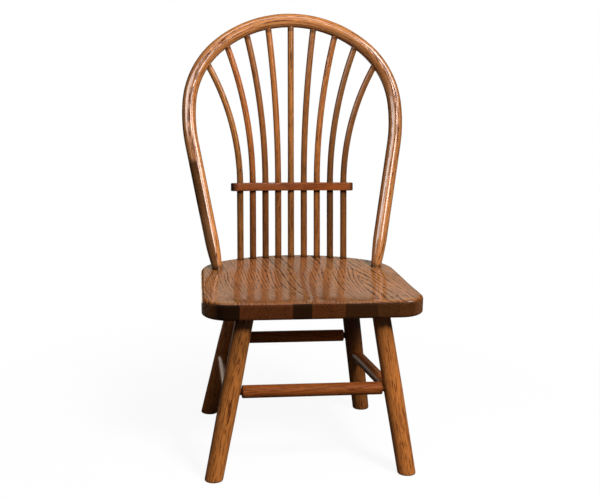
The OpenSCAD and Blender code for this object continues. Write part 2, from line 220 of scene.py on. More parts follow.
# Rings: how far each noise bends them, and the steps of noise (from, to, lowest, highest) that weaken
# them or open pores
rings = {
    "slowBend": 4.0, "quickBend": 0.0024, "jaggedBend": 0.0016,
    "yearPace": 0.36, "yearSpread": 1.3,     # good and poor years make some rings wide and some narrow
    "opening": 0.10, "closing": 0.12,        # shares of a ring: its band is full, and starts to fade
    "depth": (0.30, 0.58, 0.58, 1.0), "dashes": (0.38, 0.56, 0.20, 1.0), "dots": (0.52, 0.66, 0.0, 1.0),
    "poresInBand": 0.70, "poresBetween": 0.30,
}
# Stain: how it answers to the figure, to pores, to joints and to the piece's own stain
staining = {
    "hide": 0.9, "fibre": 0.9, "drift": 1.1, "pores": 0.85, "joint": 0.72,
    "redness": (0.20, -0.16, -0.20),         # what a red stain adds to red, green and blue
    "rough": 0.30, "roughPores": 0.25, "roughFibre": 0.12, "roughJoint": 0.2, "roughDark": 0.25,
    "bare": (0.66, 0.79),                    # stain where the lacquer starts to go, and is gone
    "thinRings": 0.85, "thinJoint": 0.8,
    "sinkPores": 0.9, "sinkRings": 0.35, "raiseFibre": 0.30,
}
figureOutputs = ("Rings", "Pores", "Fibre", "Drift", "Mottle")


# Adds a node with its settings; each input gets a link from another node's output, or a value
def addNode(tree, kind, inputs, **settings):
    node = tree.nodes.new(kind)
    for key, value in settings.items():
        setattr(node, key, value)
    for key, value in inputs.items():
        if isinstance(value, bpy.types.NodeSocket):
            tree.links.new(value, node.inputs[key])
        else:
            node.inputs[key].default_value = value
    return node


def mathNode(tree, operation, *values):
    return addNode(tree, "ShaderNodeMath", dict(enumerate(values)), operation=operation).outputs[0]


def times(tree, first, second):
    return mathNode(tree, "MULTIPLY", first, second)


# A start plus each value times its factor, held between 0 and 1 when clamped
def addUp(tree, total, *shares, clamp=False):
    for value, factor in shares:
        total = mathNode(tree, "MULTIPLY_ADD", value, factor, total)
    total.node.use_clamp = clamp
    return total


# Eased step as a value goes from low to high
def stepNode(tree, value, low, high, lowest=0.0, highest=1.0):
    return addNode(tree, "ShaderNodeMapRange", {0: value, 1: low, 2: high, 3: lowest, 4: highest},
                   interpolation_type="SMOOTHSTEP").outputs[0]


# Noise read on stretched wood coordinates: many turns a metre across the grain and few along it
def stretchedNoise(tree, point, across, along, detail=2.0, rough=0.5, shift=0.0):
    stretched = addNode(tree, "ShaderNodeMapping", {
        "Vector": point, "Scale": (across, across, along), "Location": (shift, shift, shift)})
    return addNode(tree, "ShaderNodeTexNoise", {
        "Vector": stretched.outputs[0], "Scale": 1.0, "Detail": detail, "Roughness": rough}).outputs["Fac"]


# New node group. An input's starting value tells its kind: a number, a colour, or None for a vector
def newGroup(name, inputs, outputs):
    tree = bpy.data.node_groups.new(name, "ShaderNodeTree")
    for label, value in inputs.items():
        kind = "Vector" if value is None else "Float" if isinstance(value, float) else "Color"
        socket = tree.interface.new_socket(label, in_out="INPUT", socket_type="NodeSocket" + kind)
        if value is not None:
            socket.default_value = value
    for label in outputs:
        kind = "Color" if label == "Colour" else "Float"
        tree.interface.new_socket(label, in_out="OUTPUT", socket_type="NodeSocket" + kind)
    return tree, tree.nodes.new("NodeGroupInput").outputs


# Ring-porous oak as a solid: distance from the pith, bent by noise, counts the yearly rings; each ring
# opens with a band of long dark pores and closes with dense pale wood
def oakFigureGroup():
    tree, put = newGroup("oakFigure", {"Wood Point": None, "Ring Width": 0.0032, "Waver": 0.004, "Band": 0.6},
                         figureOutputs)
    noise = {name: stretchedNoise(tree, put["Wood Point"], **numbers) for name, numbers in noises.items()}
    parts = addNode(tree, "ShaderNodeSeparateXYZ", {"Vector": put["Wood Point"]}).outputs
    section = addNode(tree, "ShaderNodeCombineXYZ", {"X": parts["X"], "Y": parts["Y"]})
    fromPith = addNode(tree, "ShaderNodeVectorMath", {0: section.outputs[0]}, operation="LENGTH")
    bend = times(tree, mathNode(tree, "SUBTRACT", noise["slow"], 0.5), put["Waver"])
    bend = times(tree, bend, rings["slowBend"])
    bend = addUp(tree, bend, (noise["quick"], rings["quickBend"]), (noise["jagged"], rings["jaggedBend"]))
    distance = mathNode(tree, "ADD", fromPith.outputs["Value"], bend)
    years = mathNode(tree, "DIVIDE", distance, put["Ring Width"])
    pace = times(tree, years, rings["yearPace"])
    growth = addNode(tree, "ShaderNodeTexNoise", {"W": pace, "Scale": 1.0, "Detail": 1},
                     noise_dimensions="1D")
    years = addUp(tree, years, (growth.outputs["Fac"], rings["yearSpread"]))
    phase = mathNode(tree, "FRACT", years)
    opening = stepNode(tree, phase, 0.0, rings["opening"])
    closing = stepNode(tree, phase, rings["closing"], put["Band"], 1.0, 0.0)
    band = times(tree, opening, closing)
    band = times(tree, band, stepNode(tree, noise["year"], *rings["depth"]))
    band = times(tree, band, stepNode(tree, noise["dash"], *rings["dashes"]))
    reach = mathNode(tree, "MULTIPLY_ADD", band, rings["poresInBand"], rings["poresBetween"])
    pores = times(tree, stepNode(tree, noise["dots"], *rings["dots"]), reach)
    addNode(tree, "NodeGroupOutput", {"Rings": band, "Pores": pores, "Fibre": noise["fibre"],
                                      "Drift": noise["drift"], "Mottle": noise["mottle"]})
    return tree


# Stained and lacquered surface from the figure: colour goes from pale to dark wood with the rings, the
# pores hold the stain, the piece's own stain, with the painted shade that some pieces hold in it, darkens or
# reddens it, and joints are darker. The lacquer is thin over the pores' bands and at joints, and sawn wood
# that took a lot of stain, or holds a lot of painted shade, has none.
def oakStainGroup():
    tree, put = newGroup(
        "oakStain",
        {**dict.fromkeys(figureOutputs, 0.5), "Pores": 0.0, "Stain": None, "Pale": (0.5, 0.2, 0.08, 1),
         "Dark": (0.2, 0.07, 0.02, 1), "Pore Colour": (0.06, 0.02, 0.008, 1),
         "Figure": 0.8, "Lacquer": 0.5, "Blotch": 0.5},
        ("Colour", "Roughness", "Height", "Coat"))
    stain = addNode(tree, "ShaderNodeSeparateXYZ", {"Vector": put["Stain"]}).outputs
    dark, red, joint = stain["X"], stain["Y"], stain["Z"]
    fibre, drift, mottle = [
        mathNode(tree, "SUBTRACT", put[name], 0.5) for name in ("Fibre", "Drift", "Mottle")]
    seen = addUp(tree, 1.0, (dark, -staining["hide"]), clamp=True)
    share = times(tree, times(tree, put["Rings"], put["Figure"]), seen)
    share = addUp(tree, share, (fibre, staining["fibre"]), (drift, staining["drift"]),
                  (mottle, put["Blotch"]), clamp=True)
    wood = addNode(tree, "ShaderNodeMix", {"Factor": share, 6: put["Pale"], 7: put["Dark"]}, data_type="RGBA")
    pores = times(tree, put["Pores"], staining["pores"])
    wood = addNode(tree, "ShaderNodeMix", {"Factor": pores, 6: wood.outputs[2], 7: put["Pore Colour"]},
                   data_type="RGBA")
    keep = times(tree, addUp(tree, 1.0, (joint, -staining["joint"])), mathNode(tree, "SUBTRACT", 1.0, dark))
    tint = addNode(tree, "ShaderNodeCombineXYZ", {
        axis: addUp(tree, 1.0, (red, change)) for axis, change in zip("XYZ", staining["redness"])})
    tint = addNode(tree, "ShaderNodeVectorMath", {0: tint.outputs[0], "Scale": keep}, operation="SCALE")
    colour = addNode(tree, "ShaderNodeVectorMath", {0: wood.outputs[2], 1: tint.outputs[0]},
                     operation="MULTIPLY")
    rough = addUp(tree, staining["rough"], (put["Pores"], staining["roughPores"]),
                  (put["Fibre"], staining["roughFibre"]), (joint, staining["roughJoint"]),
                  (dark, staining["roughDark"]), clamp=True)
    thin = addUp(tree, 1.0, (put["Rings"], -staining["thinRings"]), (joint, -staining["thinJoint"]),
                 clamp=True)
    coat = times(tree, put["Lacquer"], stepNode(tree, dark, *staining["bare"], 1.0, 0.0))
    height = addUp(tree, 1.0, (put["Pores"], -staining["sinkPores"]), (put["Rings"], -staining["sinkRings"]),
                   (put["Fibre"], staining["raiseFibre"]))
    addNode(tree, "NodeGroupOutput", {"Colour": colour.outputs[0], "Roughness": rough, "Height": height,
                                      "Coat": times(tree, coat, thin)})
    return tree


figureGroup = oakFigureGroup()
stainGroup = oakStainGroup()
print("oak figure and stain groups ready")

# Finishes: linear colours of pale wood, dark wood and pores; the rings' width and waver in metres, the
# share of a ring that its porous band takes and how strongly that shows; blotches and bump; the weight,
# haze and index of the lacquer, and the shine of the wood itself
common = {"pore": (0.035, 0.009, 0.002), "ring": 0.0022, "waver": 0.003, "band": 0.6, "index": 1.5,
          "woodIndex": 1.48, "relief": 0.0006}
finishes = {
    "seat": {**common, "pale": (0.32, 0.120, 0.030), "dark": (0.050, 0.014, 0.003),
             "pore": (0.030, 0.007, 0.002), "ring": 0.0036, "waver": 0.0024, "band": 0.42,
             "figure": 3.0, "blotch": 2.2, "bump": 0.10, "coat": 0.9, "haze": 0.12, "shine": 0.05},
    "leg": {**common, "pale": (0.47, 0.160, 0.034), "dark": (0.12, 0.029, 0.005),
            "figure": 1.0, "blotch": 3.4, "bump": 0.18, "coat": 0.15, "haze": 0.22, "shine": 0.15},
    "bow": {**common, "pale": (0.57, 0.230, 0.068), "dark": (0.14, 0.038, 0.008),
            "pore": (0.045, 0.012, 0.003), "ring": 0.0030, "waver": 0.0015, "band": 0.50, "index": 1.85,
            "figure": 1.1, "blotch": 1.6, "bump": 0.20, "coat": 1.0, "haze": 0.18, "shine": 0.03},
    "spindle": {**common, "pale": (0.415, 0.146, 0.035), "dark": (0.10, 0.026, 0.005),
                "ring": 0.0020, "waver": 0.002, "band": 0.55, "index": 1.7,
                "figure": 1.2, "blotch": 2.8, "bump": 0.20, "coat": 0.4, "haze": 0.17, "shine": 0.05},
    "rail": {**common, "pale": (0.27, 0.070, 0.014), "dark": (0.11, 0.026, 0.005), "ring": 0.0030,
             "figure": 0.60, "blotch": 1.6, "bump": 0.10, "coat": 0.4, "haze": 0.15, "shine": 0.15},
    "stretcher": {**common, "pale": (0.31, 0.089, 0.017), "dark": (0.09, 0.021, 0.004),
                  "figure": 0.65, "blotch": 1.9, "bump": 0.12, "coat": 0.06, "haze": 0.25, "shine": 0.10},
}


# Empties the node tree of a new material or world
def emptyTree(owner):
    owner.use_nodes = True
    owner.node_tree.nodes.clear()
    return owner.node_tree


def oakMaterial(name, look):
    material = bpy.data.materials.new(name)
    tree = emptyTree(material)
    point = addNode(tree, "ShaderNodeAttribute", {}, attribute_name="grainPoint")
    stain = addNode(tree, "ShaderNodeAttribute", {}, attribute_name="stain")
    figure = addNode(tree, "ShaderNodeGroup", {
        "Wood Point": point.outputs["Vector"], "Ring Width": look["ring"], "Waver": look["waver"],
        "Band": look["band"]}, node_tree=figureGroup)
    surface = addNode(tree, "ShaderNodeGroup", {
        **{label: figure.outputs[label] for label in figureOutputs}, "Stain": stain.outputs["Vector"],
        "Pale": (*look["pale"], 1), "Dark": (*look["dark"], 1), "Pore Colour": (*look["pore"], 1),
        "Figure": look["figure"], "Lacquer": look["coat"], "Blotch": look["blotch"]}, node_tree=stainGroup)
    bump = addNode(tree, "ShaderNodeBump", {
        "Height": surface.outputs["Height"], "Strength": look["bump"], "Distance": look["relief"]})
    shader = addNode(tree, "ShaderNodeBsdfPrincipled", {
        "Base Color": surface.outputs["Colour"], "Roughness": surface.outputs["Roughness"],
        "Normal": bump.outputs["Normal"], "Coat Weight": surface.outputs["Coat"],
        "IOR": look["woodIndex"], "Specular IOR Level": look["shine"], "Coat Roughness": look["haze"],
        "Coat IOR": look["index"]})
    addNode(tree, "ShaderNodeOutputMaterial", {"Surface": shader.outputs["BSDF"]})
    return material


oak = {wood: oakMaterial(wood + "Oak", look) for wood, look in finishes.items()}
print("materials ready for:", ", ".join(oak))

# Seat

seat = {
    "width": 356.0, "depth": 325.0, "backWidth": 335.0,
    "cornerR": 42.0, "backCornerR": 85.0, "rearR": 223.0,
    "edgeR": 6.0, "bevel": 2.0,
    # two shallow spheres hollow the top, eased into the flat rim, which they would leave a hair low
    "hollowDepth": 6.0, "hollowR": 1000.0, "hollowX": 70.0, "hollowY": 105.0, "soften": 0.5, "lift": 0.01,
    "joints": (-122.0, -38.5, -8.0, 45.0, 97.0, 132.0), "glue": 0.004,
    "step": 1.8, "topPoints": 150,           # between the points across a board, and how many run along it
    "sawn": (0.3, 2.3),                      # below the top: sawn end grain starts, and has its full stain
    "sawnTurn": (1.35, 0.2),                 # how far round the corners the end grain shows
    "sideStain": 0.12, "redFace": 0.4,
    "outerMiddle": 20.0,                     # where an outside board's cut is counted from, past its joint
    "pool": 0.8, "poolDrop": (9.0, 6.0),     # stain round the feet: how dark, and how far down the sockets
    # each board: stain on the faces, stain on the sawn ends with painted shade in it, redness, and where it
    # was cut
    "boards": (
        {"face": 0.02, "end": 0.965, "red": 0.3,
         "spin": 0.1, "pith": (-84, 42), "tilt": (0.10, 0.030), "start": 0.3},
        {"face": -0.02, "end": 0.775, "red": 0.9,
         "spin": -0.1, "pith": (-78, 50), "tilt": (0.12, 0.022), "start": 1.3},
        {"face": 0.15, "end": 0.945, "red": 0.4,
         "spin": 0.2, "pith": (-70, 50), "tilt": (0.12, 0.03), "start": 2.2},
        {"face": 0.13, "end": 0.78, "red": 0.9,
         "spin": 0.0, "pith": (-62, 50), "tilt": (0.11, 0.012), "start": 3.6},
        {"face": -0.14, "end": 0.90, "red": 0.4,
         "spin": 0.1, "pith": (-66, 46), "tilt": (0.09, 0.02), "start": 4.4},
        {"face": -0.12, "end": 0.82, "red": 0.2,
         "spin": -0.2, "pith": (50, 56), "tilt": (0.10, 0.02), "start": 5.1},
        {"face": -0.22, "end": 0.78, "red": 0.4,
         "spin": 0.1, "pith": (54, 46), "tilt": (0.16, 0.03), "start": 6.7},
    ),
}
seatThick = chair["seatTop"] - chair["seatUnder"]
sideCornerX = seat["width"] / 2 - seat["cornerR"]
rearCentreY = seat["depth"] - seat["rearR"]
backCornerX = seat["backWidth"] / 2 - seat["backCornerR"]
backCornerY = rearCentreY + math.sqrt((seat["rearR"] - seat["backCornerR"]) ** 2 - backCornerX ** 2)
sideDx, sideDy = backCornerX - sideCornerX, backCornerY - seat["cornerR"]
sideTurnIn = math.acos((seat["cornerR"] - seat["backCornerR"]) / math.hypot(sideDx, sideDy))
sideAngle = math.atan2(sideDy, sideDx) - sideTurnIn
rearAngle = math.atan2(backCornerY - rearCentreY, backCornerX)


# Height of the seat's top: the flat rim or one of two shallow spheres, whichever is lower, eased together
def seatTopAt(x, y):
    r, soften = seat["hollowR"], seat["soften"]
    heights = [np.zeros_like(x)]
    for side in sides:
        across = (x - side * seat["hollowX"]) ** 2 + (y - seat["hollowY"]) ** 2
        heights.append(r - seat["hollowDepth"] - np.sqrt(np.maximum(r * r - across, 0)))
    lowest = -soften * np.log(np.sum(np.exp(-np.stack(heights) / soften), 0))
    return chair["seatTop"] + lowest + seat["lift"]


# Points of the seat at a fall below its top; the hollows fade out down the wall, so the bottom is flat
def seatPoints(x, y, fall):
    hollow = (chair["seatTop"] - seatTopAt(x, y)) * ramp(fall, seatThick, 0)
    return np.stack([x, y, chair["seatTop"] - fall - hollow], -1).reshape(-1, 3)


# Rear edge of the seat at x, drawn in by an inset
def rearEdge(x, inset):
    return rearCentreY + np.sqrt((seat["rearR"] - inset) ** 2 - x ** 2)


# Edge profile from the bevel underneath up the wall and over the rounded top, as insets from the outline
# and drops below the top
def edgeProfile():
    bevel, edgeR = seat["bevel"], seat["edgeR"]
    wall = np.linspace(seatThick - bevel, edgeR, 7)[:-1]
    a = np.linspace(0, np.pi / 2, 9)
    inset = np.concatenate([[bevel, bevel * 0.4], 0 * wall, edgeR * (1 - np.cos(a))])
    drop = np.concatenate([[seatThick, seatThick - bevel * 0.45], wall, edgeR * (1 - np.sin(a))])
    return inset, drop


# Wood coordinates and stain of a board: sawn ends take more stain, which also holds painted shade on the
# front face, and it pools round the feet of the spindles and the bow
def boardLooks(board, middle, verts, endShare):
    x, y, z = verts.T
    grain = cutFrom(board, x - middle, z - chair["seatUnder"], y - seat["depth"] / 2)
    dark = board["face"] + (board["end"] - board["face"]) * endShare
    red = board["red"] * (seat["redFace"] + (1 - seat["redFace"]) * endShare)
    feet = [(*foot, *spindle["pool"]) for foot in spindleFeet]
    feet += [(side * bow["footX"], bow["footY"], *bow["pool"]) for side in sides]
    pools = [fade(np.hypot(x - footX, y - footY) - radius, reach) for footX, footY, radius, reach in feet]
    low, high = [chair["seatTop"] - drop for drop in seat["poolDrop"]]
    return grain, np.stack([dark, red, np.max(pools, axis=0) * ramp(z, low, high) * seat["pool"]], -1)


# Board between two joints: at each x a closed loop round the section, front edge, top, rear edge, bottom
def innerBoard(number, low, high, board):
    count = max(int((high - low) / seat["step"]), 12)
    x = np.linspace(low + seat["glue"], high - seat["glue"], count)[:, None]
    inset, drop = edgeProfile()
    share = np.linspace(0, 1, seat["topPoints"] + 2)[1:-1]
    frontY = np.broadcast_to(inset, (len(x), len(inset)))
    topY = seat["edgeR"] + share * (rearEdge(x, seat["edgeR"]) - seat["edgeR"])
    lowY = seat["bevel"] + share[::-6] * (rearEdge(x, seat["bevel"]) - seat["bevel"])
    y = np.concatenate([frontY, topY, rearEdge(x, inset)[:, ::-1], lowY], 1)
    rows, columns = y.shape
    fall = np.concatenate([drop, 0 * share, drop[::-1], np.full(lowY.shape[1], seatThick)])
    verts = seatPoints(np.broadcast_to(x, y.shape), y, fall)
    faces = gridFaces(rows, columns)
    faces.append(list(range(columns))[::-1])
    faces.append([(rows - 1) * columns + k for k in range(columns)])
    sawn = ramp(fall, *seat["sawn"])
    underneath = 2 * len(drop) + len(share)
    sawn[underneath:] = 0
    sawn[[0, underneath - 1]] = 0.5
    grain, stain = boardLooks(board, (low + high) / 2, verts, np.tile(sawn, rows))
    woodPiece(f"seatBoard{number}", verts, faces, grain, stain, "seat", f"seat_board_{number}")


# Outer outline of the seat from a joint's front end round to its rear end, at each inset:
# front line, corner arc, side line, back corner arc and the last of the rear arc
def sideOutline(joint, inset):
    inset = inset[:, None]
    corner, backCorner, rear = [seat[name] - inset for name in ("cornerR", "backCornerR", "rearR")]

    def arc(centreX, centreY, r, start, stop, count, last=False):
        a = start + (stop - start) * np.linspace(0, 1, count + int(last), endpoint=last)
        return centreX + r * np.cos(a), centreY + r * np.sin(a)

    front = np.linspace(joint, sideCornerX, 8, endpoint=False)
    side = np.linspace(0, 1, 80, endpoint=False)
    x1, x2 = sideCornerX + corner * math.cos(sideAngle), backCornerX + backCorner * math.cos(sideAngle)
    y1, y2 = seat["cornerR"] + corner * math.sin(sideAngle), backCornerY + backCorner * math.sin(sideAngle)
    parts = [
        (front + 0 * inset, 0 * front + inset),
        arc(sideCornerX, seat["cornerR"], corner, -np.pi / 2, sideAngle, 36),
        (x1 + (x2 - x1) * side, y1 + (y2 - y1) * side),
        arc(backCornerX, backCornerY, backCorner, sideAngle, rearAngle, 44),
        arc(0, rearCentreY, rear, rearAngle, np.arccos(joint / rear), 8, last=True),
    ]
    return [np.concatenate(values, 1) for values in zip(*parts)]


# Outside board: rings of the outline run in over the edge, then straight lines reach in to the joint
def outerBoard(number, side, joint, board):
    inset, drop = edgeProfile()
    joint = joint + seat["glue"]
    ringX, ringY = sideOutline(joint, inset)
    steps = np.linspace(0, 1, 27)[1:, None]
    reach = runLength(np.stack([ringX[-1], ringY[-1]], -1))
    reach /= reach[-1]

    def inwards(x, y):
        jointY = y[0] + (y[-1] - y[0]) * reach
        return x + (joint - x) * steps, y + (jointY - y) * steps

    topX, topY = inwards(ringX[-1], ringY[-1])
    lowX, lowY = inwards(ringX[0], ringY[0])
    x = np.concatenate([lowX[::-1], ringX, topX])
    y = np.concatenate([lowY[::-1], ringY, topY])
    fall = np.concatenate([np.full(len(steps), seatThick), drop, np.zeros(len(steps))])[:, None]
    verts = seatPoints(side * x, y, fall)
    # the sawn face at the joint closes the board: up the front, back along the top and down the rear
    grid = np.arange(x.size).reshape(x.shape)
    faces = gridFaces(*x.shape, closed=False)
    faces.append(np.concatenate([grid[0, ::-1], grid[1:-1, 0], grid[-1], grid[-2:0:-1, -1]]).tolist())
    # sawn ends show at the front and the back, long grain down the side
    dx, dy = np.gradient(ringX[2]), np.gradient(ringY[2])
    facing = np.abs(dx) / np.hypot(dx, dy)
    gain, less = seat["sawnTurn"]
    sawn = ramp(fall, *seat["sawn"]) * np.clip(facing * gain - less, 0, 1)
    longSide = ramp(fall, seat["edgeR"] / 2, seat["edgeR"]) * (1 - facing)
    sawn[:len(steps)] = longSide[:len(steps)] = 0
    grain, stain = boardLooks(board, side * (joint + seat["outerMiddle"]), verts, sawn.ravel())
    stain[:, 0] += seat["sideStain"] * longSide.ravel()
    woodPiece(f"seatBoard{number}", verts, faces, grain, stain, "seat", f"seat_board_{number}", welded=True)


# Spindles and bow, worked out before the seat is made, because its stain pools round their feet

bow = {
    "footX": 138.0, "footY": 225.0, "lean": 19.3, "flare": 10.3, "limb": 220.0,
    "sideR": 275.0, "sideTurn": 15.3, "shoulderR": 148.0, "shoulderTurn": 45.0,
    "radius": 12.0, "footRadius": 8.5, "taper": 48.0, "swell": 0.12, "tenon": 17.0,
    "ripple": 0.006, "rippleLength": 22.0, "inside": 0.02,
    "stain": (0.02, 0.1), "cut": {"spin": 0.5, "pith": (52, 30), "tilt": (0.004, 0.006), "start": 9.0},
    "pool": (9.0, 2.2), "jointReach": 5.0,
    # the sine of the angle round the rod at which its outer and its inner side start, and are full
    "outer": (0.32, 0.04), "inner": (0.05, 0.45),
    # painted shade on the left limb's outer side: below shadeTop, at its upper end and at the foot
    "shade": 0.86, "shadeFoot": 0.68, "shadeTop": 200.0, "shadeEdge": 14.0,
    # weaker painted shade on the outer side above that, up to this share of the bow
    "sideStain": 0.24, "sideShare": 0.36, "sideEdge": 60.0,
    # the right half a little darker all round, and painted shade on its inner side
    "rightStain": 0.15, "innerShade": 0.30, "rightEdge": 120.0,
}
spindle = {
    "pitch": 23.0, "in": 18.0, "rowR": 272.0, "fan": 41.5, "outerFan": 49.5, "tenon": 15.0, "short": 1.0,
    "lowRadius": 5.8, "topRadius": 5.5, "thinOver": 14.0, "bendIn": 2.0,
    "ripple": 0.006, "rippleLength": 40.0, "inside": 0.06, "pool": (6.0, 1.6), "jointReach": 3.0,
    "poolUnder": 0.5, "poolInside": 1.0,     # how far under the rail and inside the bow the stain pools
    "pith": ((20, 60), (10, 50)), "tilt": 0.012,
    # from the left: dark stain, red stain and how much paler the upper part is, which leaves painted shade
    # below the rail
    "stains": ((0.51, -0.2, 0.56), (0.57, 0.3, 0.60), (0.68, 0.1, 0.36), (0.54, 0.1, 0.48),
               (0.45, -0.2, 0.35), (0.52, 0.0, 0.17), (0.34, 0.1, 0.34), (0.70, -0.1, 0.21),
               (0.58, 0.0, 0.02)),
    "paler": (-5.0, 85.0),                   # above the rail: where the paler part starts, and is full
}
leanAngle = math.radians(bow["lean"])
flare = math.radians(bow["flare"])
sideEnd = math.radians(bow["sideTurn"] - bow["flare"])
shoulderEnd = sideEnd + math.radians(bow["shoulderTurn"])
limbEnd = np.array([bow["footX"] + bow["limb"] * math.sin(flare), bow["limb"] * math.cos(flare)])


def ray(angle):
    return np.array([math.cos(angle), math.sin(angle)])


sideCentre = limbEnd - bow["sideR"] * ray(-flare)
shoulderCentre = sideCentre + (bow["sideR"] - bow["shoulderR"]) * ray(sideEnd)
shoulderPoint = shoulderCentre + bow["shoulderR"] * ray(shoulderEnd)
topR = shoulderPoint[0] / math.cos(shoulderEnd)
topCentre = np.array([0.0, shoulderPoint[1] - topR * math.sin(shoulderEnd)])
topLength = topR * (math.pi / 2 - shoulderEnd)


# Right half of the bow in its leaning plane, from the end of its tenon up to the top: a straight limb,
# a wide arc, a tighter arc and the crown's arc, each starting where the last one ends
def bowHalf():
    t = np.linspace(-bow["tenon"], bow["limb"], 120)[:, None]
    pieces = [np.array([bow["footX"], 0.0]) + t * np.array([math.sin(flare), math.cos(flare)])]
    for centre, r, start, stop, count in (
            (sideCentre, bow["sideR"], -flare, sideEnd, 36),
            (shoulderCentre, bow["shoulderR"], sideEnd, shoulderEnd, 60),
            (topCentre, topR, shoulderEnd, math.pi / 2, 70)):
        a = np.linspace(start, stop, count)[1:]
        pieces.append(centre + r * np.stack([np.cos(a), np.sin(a)], -1))
    return np.concatenate(pieces)


# Lifts a drawing (across, up) onto a plane that stands on the seat at depth y and leans back
def leanBack(points, y, angle):
    u, v = points.T
    return np.stack([u, y + v * math.sin(angle), chair["seatTop"] + v * math.cos(angle)], -1)


# Point of the bow's centre line at a distance along it from the top
def onBow(distance):
    if distance <= topLength:
        return topCentre + topR * np.array([math.sin(distance / topR), math.cos(distance / topR)])
    return shoulderCentre + bow["shoulderR"] * ray(shoulderEnd - (distance - topLength) / bow["shoulderR"])


# Where a spindle stands in the seat: evenly spaced across, on an arc that follows the rear edge
def spindleFoot(k):
    x = k * spindle["pitch"]
    return x, seat["depth"] - spindle["in"] - spindle["rowR"] + math.sqrt(spindle["rowR"] ** 2 - x * x)


spindleFeet = [spindleFoot(k) for k in range(-4, 5)]


# A spindle's tip in the bow, across and up in its own leaning plane, and how far that plane leans
def spindleTip(k):
    tip = onBow(k * spindle["fan"] if k < 4 else 3 * spindle["fan"] + spindle["outerFan"])
    back = bow["footY"] + tip[1] * math.sin(leanAngle) - spindleFoot(k)[1]
    up = tip[1] * math.cos(leanAngle)
    return tip[0], math.hypot(back, up), math.atan2(back, up)


# One spindle in its own leaning plane: straight from its tenon up into the rail, then one arc out to the bow
def spindlePath(k):
    x, y = spindleFoot(abs(k))
    tipX, tipV, lean = spindleTip(abs(k))
    bendV = chair["railHeight"] / math.cos(lean) + chair["railThick"] / 2 - spindle["bendIn"]
    v = np.linspace(-spindle["tenon"], bendV, 50)
    low = np.stack([np.full_like(v, x), v], -1)
    if k == 0:
        v = np.linspace(bendV, tipV, 70)[1:]
        high = np.stack([np.zeros_like(v), v], -1)
    else:
        dx, dv = tipX - x, tipV - bendV
        r = (dx * dx + dv * dv) / (2 * dx)
        a = np.linspace(0, math.asin(dv / r), 90)[1:]
        high = np.stack([x + r - r * np.cos(a), bendV + r * np.sin(a)], -1)
    flat = np.concatenate([low, high])
    flat[:, 0] *= -1 if k < 0 else 1
    plane = np.array([0.0, math.cos(lean), -math.sin(lean)])
    return leanBack(flat, y, lean), plane, bendV


# Radius of the bow: whittled from the foot up to the full round, with a hand-finished ripple
def bowRadii(distance, total):
    fromFoot = np.minimum(distance, total - distance) - bow["tenon"]
    up = ramp(fromFoot, 0, bow["taper"])
    eased = np.minimum(up + bow["swell"] * np.sin(np.pi * up), 1)
    size = bow["footRadius"] + (bow["radius"] - bow["footRadius"]) * eased
    ripple = bow["ripple"] * softWave(distance / bow["rippleLength"], 4) * (fromFoot > 0) * (up < 1)
    return size * (1 + ripple) - bow["inside"]


# Painted shade and stain round the bow: painted shade on the left limb's outer side, full from a hand's
# length above the seat down and weaker higher up; the right half a little darker all round, with painted
# shade on its inner side
def bowShade(distance, theta, total):
    fromLeft = total - distance - bow["tenon"]
    outer = ramp(np.sin(theta), *bow["outer"])
    inner = ramp(np.sin(theta), *bow["inner"])
    below = ramp(fromLeft, bow["shadeTop"], bow["shadeTop"] - bow["shadeEdge"])
    upwards = ramp(fromLeft, 0, bow["shadeTop"])
    left = outer * below * (bow["shadeFoot"] + (bow["shade"] - bow["shadeFoot"]) * upwards)
    sideTop = total * bow["sideShare"]
    higher = bow["sideStain"] * outer * ramp(fromLeft, sideTop, sideTop - bow["sideEdge"])
    rightHalf = ramp(distance, total / 2, total / 2 - bow["rightEdge"])
    right = (bow["rightStain"] + bow["innerShade"] * inner) * rightHalf
    return np.maximum(left, higher * (distance > total / 2)) + right


def makeBow():
    half = bowHalf()
    flat = np.concatenate([half, half[::-1][1:] * np.array([-1, 1])])
    path = leanBack(flat, bow["footY"], leanAngle)
    along = runLength(path)
    plane = (0, math.cos(leanAngle), -math.sin(leanAngle))
    rodPiece("bentBow", path, plane, bowRadii(along, along[-1]), bow["cut"], bow["stain"],
             (bow["tenon"], along[-1] - bow["tenon"]), "bow", "bow", around=56, reach=bow["jointReach"],
             shade=bowShade)


# Turned spindle, a little thinner and paler above the rail; the darker part below the rail is painted shade
def makeSpindle(number, k):
    path, plane, bendV = spindlePath(k)
    along = runLength(path)
    keep = along < along[-1] - spindle["short"]
    path, along = path[keep], along[keep]
    bendAt = spindle["tenon"] + bendV
    railTop = bendAt + spindle["bendIn"]
    thinner = ramp(along, bendAt, bendAt + spindle["thinOver"])
    radii = spindle["lowRadius"] + (spindle["topRadius"] - spindle["lowRadius"]) * thinner
    ripple = spindle["ripple"] * softWave(along / spindle["rippleLength"], 20 + number)
    cut = randomCut(40 + number, *spindle["pith"], spindle["tilt"], 12 + 1.7 * number)
    joints = (spindle["tenon"], railTop - chair["railThick"] - spindle["poolUnder"],
              along[-1] - bow["radius"] + spindle["poolInside"])
    dark, red, paler = spindle["stains"][number - 1]

    # painted shade: the stain is lighter above the rail, leaving the part below it darker
    def shade(distance, theta, total):
        return -paler * ramp(distance - railTop, *spindle["paler"])

    rodPiece(f"spindle{number}", path, plane, radii * (1 + ripple) - spindle["inside"], cut, (dark, red),
             joints, "spindle", f"spindle_{number}", around=32, reach=spindle["jointReach"], shade=shade)


joints, boards = seat["joints"], seat["boards"]
outerBoard(1, -1, -joints[0], boards[0])
for number in range(2, 7):
    innerBoard(number, joints[number - 2], joints[number - 1], boards[number - 1])
outerBoard(7, 1, joints[5], boards[6])
print("seat boards made")
makeBow()
for number in range(1, 10):
    makeSpindle(number, number - 5)
print("bow and spindles made")

# Rail

